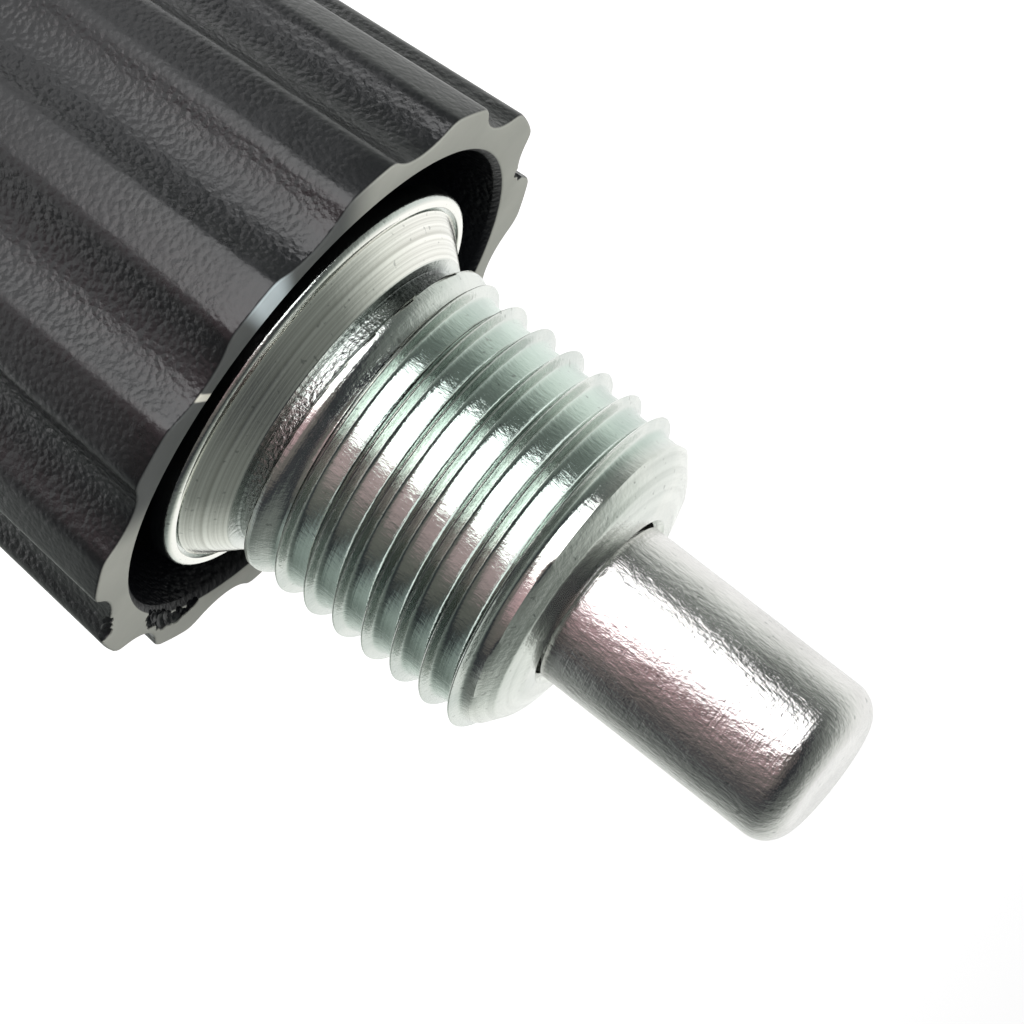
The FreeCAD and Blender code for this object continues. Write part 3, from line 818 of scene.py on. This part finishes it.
# %% World
WORLD_LIGHT, WORLD_SEEN = 0.25, 1.0
world = bpy.data.worlds.new("white_room")
bpy.context.scene.world = world
world.use_nodes = True
world_tree = world.node_tree
background = world_tree.nodes["Background"]
background.inputs["Color"].default_value = (1, 1, 1, 1)
world_strength = rise(world_tree, background_rays(world_tree), 0.0, 1.0, WORLD_LIGHT, WORLD_SEEN)
world_tree.links.new(world_strength, background.inputs["Strength"])
print("world", world.name, "lights at", WORLD_LIGHT, "and shows at", WORLD_SEEN)

# %% [markdown]
# ## The cards that metal reflects
#
# Polished metal shows its surroundings, and those of the photograph were white behind the object, a
# darker room in front, and a bright window beside the camera. Real cards could be stood round the
# object, but they would be in the picture. So a bowl stands close round it, and only reflections see
# it. Its paint is worked out from the direction in which each point lies.

# %% Directions round the object
toward_camera = turn @ mathutils.Vector((0, -1, 0))
upright = mathutils.Vector((0, 0, 1))


def direction_to(azimuth, elevation):
    """Unit vector: azimuth in degrees from the camera towards the photograph's lower left."""
    a, e = math.radians(azimuth), math.radians(elevation)
    return math.cos(e) * (math.cos(a) * toward_camera + math.sin(a) * sideways) + math.sin(e) * upright


print("the camera stands at azimuth 0, elevation", round(math.degrees(ELEVATION), 1))

# %% The bowl
BOWL_RADIUS, BOWL_MIDDLE = 0.055, (0, 0, 0.028)
select_nothing()
bpy.ops.mesh.primitive_uv_sphere_add(segments=64, ring_count=32, radius=BOWL_RADIUS, location=BOWL_MIDDLE)
cards = bpy.context.object
cards.name = "reflection_cards"
bpy.ops.object.transform_apply(location=True, rotation=True, scale=True)
cards.visible_camera = cards.visible_diffuse = cards.visible_shadow = cards.visible_transmission = False
print("bowl", cards.name, 2 * BOWL_RADIUS, "m across")


# %% The room on the cards
def facing(tree, outward, vector):
    """Dot product of the outward direction and a vector: 1 where they agree."""
    node = add_node(tree, "ShaderNodeVectorMath", {"operation": "DOT_PRODUCT"},
                    {1: tuple(vector)}, {0: outward})
    return node.outputs["Value"]


cards_paint, cards_tree, _, cards_place = new_material("reflection_cards")
from_middle = add_node(cards_tree, "ShaderNodeVectorMath", {"operation": "SUBTRACT"},
                       {1: BOWL_MIDDLE}, {0: cards_place})
unit_length = add_node(cards_tree, "ShaderNodeVectorMath", {"operation": "NORMALIZE"},
                       links={0: from_middle.outputs["Vector"]})
outward = unit_length.outputs["Vector"]
behind = facing(cards_tree, outward, -0.8 * toward_camera - 0.35 * sideways + 0.2 * upright)
downward = compute(cards_tree, "MINIMUM", facing(cards_tree, outward, upright), 0.0)
room_place = compute(cards_tree, "ADD", behind, multiply(cards_tree, downward, -0.2))
room_share = add_node(cards_tree, "ShaderNodeMapRange", inputs={"From Min": -0.9, "From Max": 0.9},
                      links={"Value": room_place})
room = add_node(cards_tree, "ShaderNodeValToRGB", links={"Fac": room_share.outputs["Result"]})
colour_steps(room, [(0.0, "#5f5e5c"), (0.12, "#6d6864"), (0.22, "#35363a"), (0.31, "#36383b"), (0.4, "#626663"),
                    (0.56, "#707571"), (0.69, "#abb0ab"), (0.8, "#dde1dc"), (0.94, "#f6f7f5")])
room_light = add_node(cards_tree, "ShaderNodeEmission", inputs={"Strength": 1.15},
                      links={"Color": room.outputs["Color"]})
print("the room goes through", len(room.color_ramp.elements), "tones from front to back")


# %% The window and two glows on the cards
def card_light(name, colour, azimuth, elevation, edge, full, strength):
    """Round light on the cards; edge and full are the cosines at which it starts and is full."""
    share = facing(cards_tree, outward, direction_to(azimuth, elevation))
    print(name, "reaches", round(math.degrees(math.acos(edge))), "degrees from its middle")
    return shine(cards_tree, colour, rise(cards_tree, share, edge, full, 0.0, strength))


total = room_light.outputs["Emission"]
for card in (("window", "#ffffff", -17, -13, 0.86, 0.9, 3.6),
             ("mauve glow", "#e0b0b8", 18, -13, 0.82, 1.0, 0.6),
             ("low glow", "#e4ebe7", 100, -28, 0.86, 0.97, 0.3)):
    total = add_shaders(cards_tree, total, card_light(*card))
cards_tree.links.new(total, cards_tree.nodes["Material Output"].inputs["Surface"])
cards.data.materials.append(cards_paint)

# %% [markdown]
# ## Lamps
#
# The plastic needs light of its own, since the cards are not seen by soft light. A sun would give
# hard shadows, so two large soft lamps are used, and they are hidden from reflections because the
# window on the cards already stands for them there.

# %% Lamps
def add_lamp(name, direction, distance, size, power):
    """Soft square lamp that looks at the object's middle."""
    middle = mathutils.Vector((0, 0, 0.022))
    data = bpy.data.lights.new(name, "AREA")
    data.size = size
    data.energy = power
    lamp = bpy.data.objects.new(name, data)
    bpy.context.scene.collection.objects.link(lamp)
    lamp.location = middle + direction.normalized() * distance
    aim = (middle - lamp.location).to_track_quat("-Z", "Y")
    lamp.rotation_euler = aim.to_euler()
    lamp.visible_glossy = False
    return lamp


add_lamp("front_lamp", direction_to(-25, 20), 0.4, 0.3, 0.8)
add_lamp("tip_lamp", direction_to(-40, 65), 0.45, 0.3, 0.8)
print("lamps", [lamp.name for lamp in bpy.data.lights])

# %% [markdown]
# ## The end

# %% Finish
bpy.context.scene.view_settings.view_transform = "Standard"
